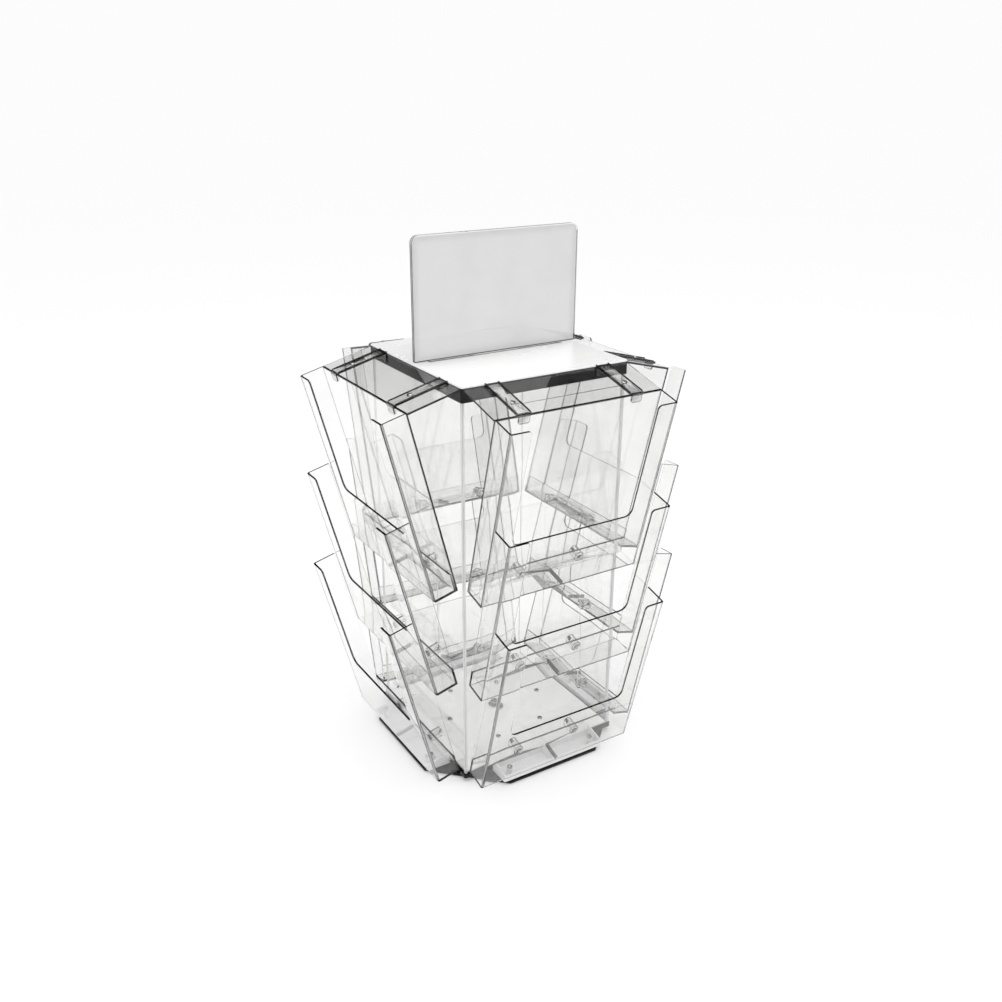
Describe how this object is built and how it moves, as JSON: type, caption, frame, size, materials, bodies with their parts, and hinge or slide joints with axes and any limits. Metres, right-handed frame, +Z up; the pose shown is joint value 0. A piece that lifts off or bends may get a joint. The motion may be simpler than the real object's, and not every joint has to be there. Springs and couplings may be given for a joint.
{
  "type": "rotating leaflet rack",
  "caption": "Counter-top rotating leaflet rack: three tiers of tilted clear A4 pockets round a square clear core, with a lift-off sign, on an eight-sided turntable base.",
  "frame": {"origin": "on the turning axis, in the plane of the feet", "axes": "+Z up along the turning axis; the sign faces -Y and runs along X; the four sets of pockets face -Y, +X, +Y and -X"},
  "size_m": [0.4286, 0.4286, 0.678],
  "materials": {
    "clear_plastic": "clear polished acrylic",
    "black_acrylic": "polished black",
    "white_acrylic": "smooth opaque white",
    "satin_white": "satin moulded, pale grey white",
    "black_moulded": "fine satin",
    "rubber_black": "matt",
    "zinc_steel": "bright zinc plated",
    "bearing_steel": "pressed and plated",
    "ball_chrome": "polished",
    "nylon_natural": "natural moulded nylon",
    "card_grey": "plain printed card, pale grey"
  },
  "bodies": {
    "base": {"base_plate": "black_acrylic", "base_feet": "rubber_black", "race_screws_lower": "zinc_steel", "spindle_bolt": "zinc_steel", "spindle_washer": "zinc_steel", "spindle_nut": "zinc_steel", "bearing_lower_race": "bearing_steel"},
    "ball_cage": {"bearing_cage": "nylon_natural", "bearing_balls": "ball_chrome"},
    "carousel": {"bearing_upper_race": "bearing_steel", "race_screws_upper": "zinc_steel", "bottom_rim": "black_acrylic", "deck_plate": "white_acrylic", "spindle_bush": "nylon_natural", "cap_rim": "black_acrylic", "top_plate": "white_acrylic", "sign_socket": "black_moulded", "pocket_rivets": "clear_plastic", "pocket_spacers": "clear_plastic", "clip_arm_screws": "zinc_steel", "foot_bracket_screws": "zinc_steel", "core_panel_front": "clear_plastic", "back_sheet_front": "clear_plastic", "roof_plate_front": "clear_plastic", "clip_arms_front": "clear_plastic", "foot_bracket_front": "satin_white", "pocket_top_front": "clear_plastic", "pocket_middle_front": "clear_plastic", "pocket_bottom_front": "clear_plastic", "core_panel_right": "clear_plastic", "back_sheet_right": "clear_plastic", "roof_plate_right": "clear_plastic", "clip_arms_right": "clear_plastic", "foot_bracket_right": "satin_white", "pocket_top_right": "clear_plastic", "pocket_middle_right": "clear_plastic", "pocket_bottom_right": "clear_plastic", "core_panel_back": "clear_plastic", "back_sheet_back": "clear_plastic", "roof_plate_back": "clear_plastic", "clip_arms_back": "clear_plastic", "foot_bracket_back": "satin_white", "pocket_top_back": "clear_plastic", "pocket_middle_back": "clear_plastic", "pocket_bottom_back": "clear_plastic", "core_panel_left": "clear_plastic", "back_sheet_left": "clear_plastic", "roof_plate_left": "clear_plastic", "clip_arms_left": "clear_plastic", "foot_bracket_left": "satin_white", "pocket_top_left": "clear_plastic", "pocket_middle_left": "clear_plastic", "pocket_bottom_left": "clear_plastic"},
    "sign": {"sign_back_sheet": "clear_plastic", "sign_front_sheet": "clear_plastic", "sign_spacers": "clear_plastic"},
    "card": {"sign_card": "card_grey"}
  },
  "joints": [
    {"name": "turntable_spin", "type": "hinge", "parent": "base", "child": "carousel", "pos_m": [0, 0, 0.008], "axis": [0, 0, 1], "continuous": true},
    {"name": "cage_spin", "type": "hinge", "parent": "base", "child": "ball_cage", "pos_m": [0, 0, 0.008], "axis": [0, 0, 1], "continuous": true},
    {"name": "sign_lift", "type": "slide", "parent": "carousel", "child": "sign", "axis": [0, 0, 1], "range_m": [0, 0.05]},
    {"name": "card_slide", "type": "slide", "parent": "sign", "child": "card", "axis": [0, 0, 1], "range_m": [0, 0.15]}
  ],
  "couplings": [
    {"joint": "cage_spin", "follows": "turntable_spin", "ratio": 0.5}
  ]
}
